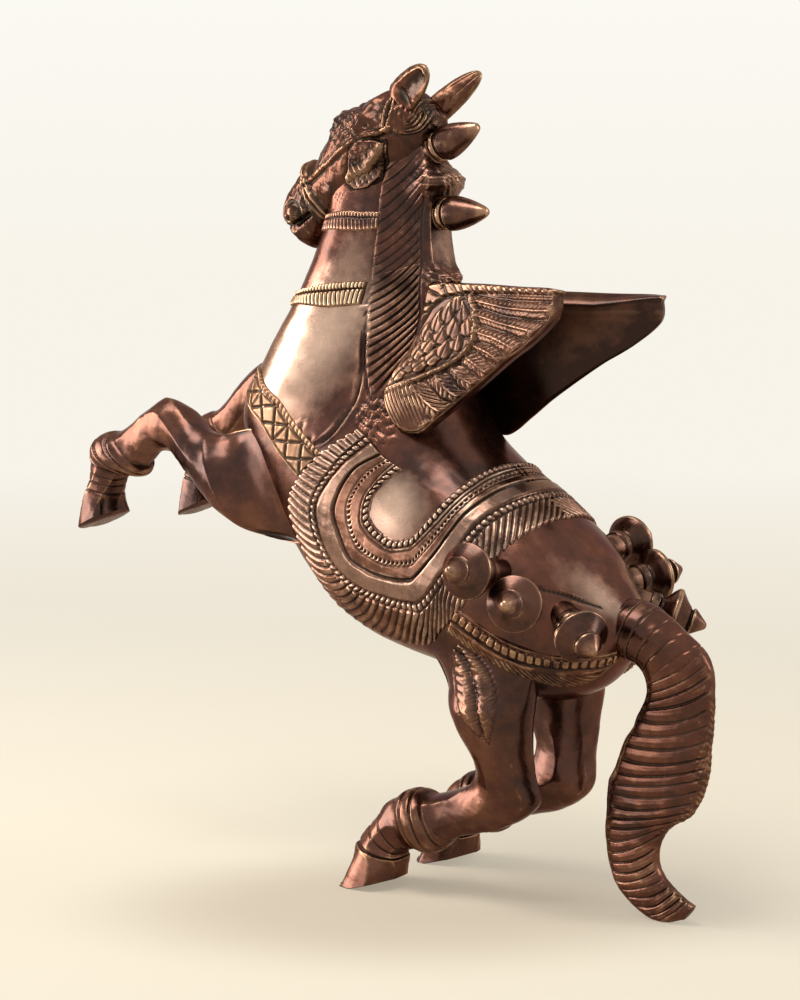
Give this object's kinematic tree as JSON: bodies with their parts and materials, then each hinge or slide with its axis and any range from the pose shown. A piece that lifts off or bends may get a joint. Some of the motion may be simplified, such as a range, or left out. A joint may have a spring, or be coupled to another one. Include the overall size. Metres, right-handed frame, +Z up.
{
  "type": "winged horse statue",
  "caption": "Cast brass winged horse rearing on its hind hooves and tail tip, with chased wings, saddle cloth and turned knobs.",
  "frame": {"origin": "centre of the statue's bounding box on the surface that it stands on", "axes": "+Z up; the horse looks along -X and its left side is -Y"},
  "size_m": [0.2778, 0.1296, 0.3055],
  "materials": {
    "brown_patina": "cast brass, chased and chemically darkened to a red-brown patina, rubbed back to bright metal on the high edges",
    "turned_patina": "brass turned on a lathe, polished and darkened to a red-brown patina",
    "stud_brass": "bare turned brass, hidden in use"
  },
  "bodies": {
    "root": {"torso": "brown_patina", "neck": "brown_patina", "head": "brown_patina", "left_foreleg": "brown_patina", "right_foreleg": "brown_patina", "left_hind_leg": "brown_patina", "right_hind_leg": "brown_patina", "tail": "brown_patina", "left_wing": "brown_patina", "right_wing": "brown_patina", "upper_mane_knob": "turned_patina", "lower_mane_knob": "turned_patina", "upper_mane_collar": "brown_patina", "lower_mane_collar": "brown_patina", "upper_mane_stud": "stud_brass", "lower_mane_stud": "stud_brass", "left_rump_knob_1": "turned_patina", "left_rump_knob_2": "turned_patina", "left_rump_knob_3": "turned_patina", "right_rump_knob_1": "turned_patina", "right_rump_knob_2": "turned_patina", "right_rump_knob_3": "turned_patina", "left_rump_1_collar": "brown_patina", "left_rump_2_collar": "brown_patina", "left_rump_3_collar": "brown_patina", "right_rump_1_collar": "brown_patina", "right_rump_2_collar": "brown_patina", "right_rump_3_collar": "brown_patina", "left_rump_1_stud": "stud_brass", "left_rump_2_stud": "stud_brass", "left_rump_3_stud": "stud_brass", "right_rump_1_stud": "stud_brass", "right_rump_2_stud": "stud_brass", "right_rump_3_stud": "stud_brass"}
  },
  "joints": []
}
